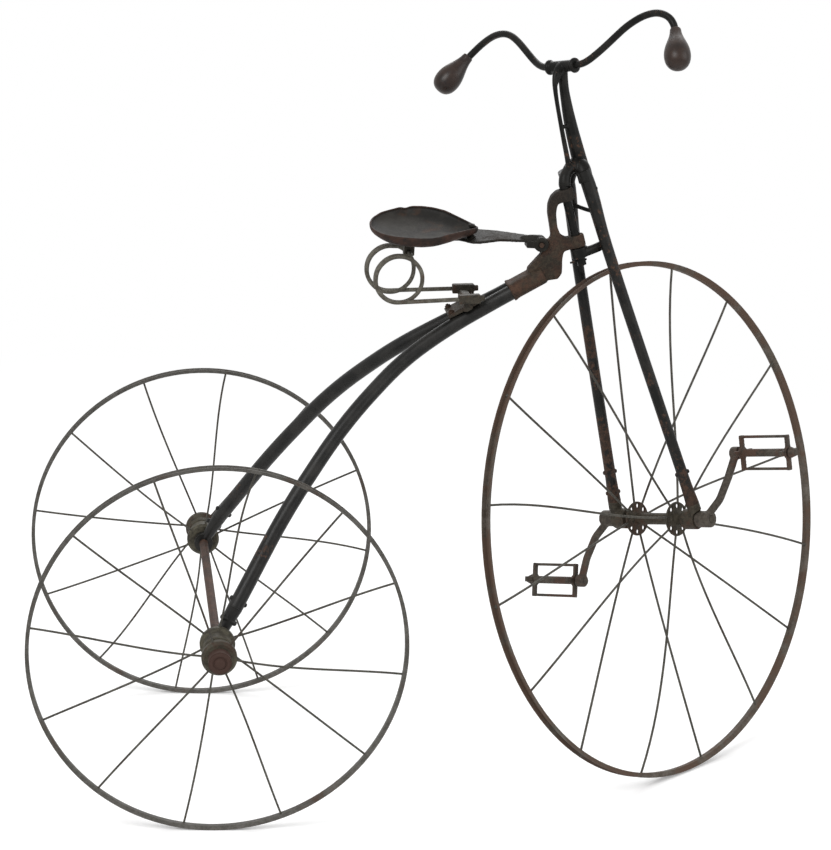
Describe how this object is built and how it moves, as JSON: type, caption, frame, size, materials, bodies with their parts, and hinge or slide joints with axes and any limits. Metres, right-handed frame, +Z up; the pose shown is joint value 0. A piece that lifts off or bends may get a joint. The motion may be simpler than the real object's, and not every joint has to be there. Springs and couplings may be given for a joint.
{
  "type": "child's velocipede",
  "caption": "Child's iron velocipede: a tall cranked front wheel in a turning fork, a bent double-leg backbone to a rear axle with small wheels, sprung pan saddle and wooden grips; tyres gone",
  "frame": {"origin": "on the ground, in the middle of the parked object's bounding box", "axes": "+X points ahead along the frame, +Y to the rider's left, +Z up; the fork stands turned to the left, as in the picture"},
  "size_m": [1.0479, 0.5486, 0.9737],
  "materials": {
    "rusted_iron": "rust-brown casting with traces of black paint",
    "worn_black": "worn black paint, rust showing through at edges",
    "brown_iron": "brown rust patina",
    "grey_iron": "dull dark grey iron with light rust",
    "saddle_pan": "dark worn skin on a pressed pan, reddish-brown at the edges",
    "turned_wood": "dark polished wood, worn"
  },
  "bodies": {
    "frame": {"head_casting": "rusted_iron", "leg_left": "worn_black", "leg_right": "worn_black", "axle_lug_left": "worn_black", "axle_lug_right": "worn_black", "rear_axle": "brown_iron", "axle_cap_left": "grey_iron", "axle_cap_right": "grey_iron", "saddle": "saddle_pan", "saddle_bar": "rusted_iron", "knuckle_pin": "rusted_iron", "spring_left": "grey_iron", "spring_right": "grey_iron", "spring_seat": "grey_iron", "spring_clamp": "rusted_iron"},
    "fork": {"fork_crown": "worn_black", "steering_pin": "worn_black", "split_pin": "brown_iron", "stem": "worn_black", "fork_bridge": "worn_black", "fork_blade_left": "worn_black", "fork_blade_right": "worn_black", "fork_end_left": "brown_iron", "fork_end_right": "brown_iron", "fork_tie": "worn_black", "handlebar": "worn_black", "grip_left": "turned_wood", "grip_right": "turned_wood"},
    "front_wheel": {"front_rim": "brown_iron", "front_spokes": "grey_iron", "front_hub": "grey_iron", "front_axle": "brown_iron", "crank_left": "brown_iron", "crank_right": "brown_iron", "pedal_spindle_left": "brown_iron", "pedal_spindle_right": "brown_iron"},
    "pedal_left": {"pedal_left": "brown_iron"},
    "pedal_right": {"pedal_right": "brown_iron"},
    "rear_wheel_left": {"rear_rim_left": "grey_iron", "rear_spokes_left": "grey_iron", "rear_hub_left": "grey_iron"},
    "rear_wheel_right": {"rear_rim_right": "grey_iron", "rear_spokes_right": "grey_iron", "rear_hub_right": "grey_iron"}
  },
  "joints": [
    {"name": "steering", "type": "hinge", "parent": "frame", "child": "fork", "pos_m": [0.13304, 0, 0.6888], "axis": [-0.294, 0, 0.9558], "range_deg": [-100, 17]},
    {"name": "front_wheel_spin", "type": "hinge", "parent": "fork", "child": "front_wheel", "pos_m": [0.26742, 0.01856, 0.32053], "axis": [-0.6375, 0.7351, -0.2308], "continuous": true},
    {"name": "pedal_right_spin", "type": "hinge", "parent": "front_wheel", "child": "pedal_right", "pos_m": [0.37596, -0.07647, 0.43728], "axis": [-0.6375, 0.7351, -0.2308], "continuous": true},
    {"name": "pedal_left_spin", "type": "hinge", "parent": "front_wheel", "child": "pedal_left", "pos_m": [0.15827, 0.10855, 0.2067], "axis": [-0.6375, 0.7351, -0.2308], "continuous": true},
    {"name": "rear_wheel_right_spin", "type": "hinge", "parent": "frame", "child": "rear_wheel_right", "pos_m": [-0.29896, -0.23, 0.225], "axis": [0, 1, 0], "continuous": true},
    {"name": "rear_wheel_left_spin", "type": "hinge", "parent": "frame", "child": "rear_wheel_left", "pos_m": [-0.29896, 0.23, 0.225], "axis": [0, 1, 0], "continuous": true}
  ]
}
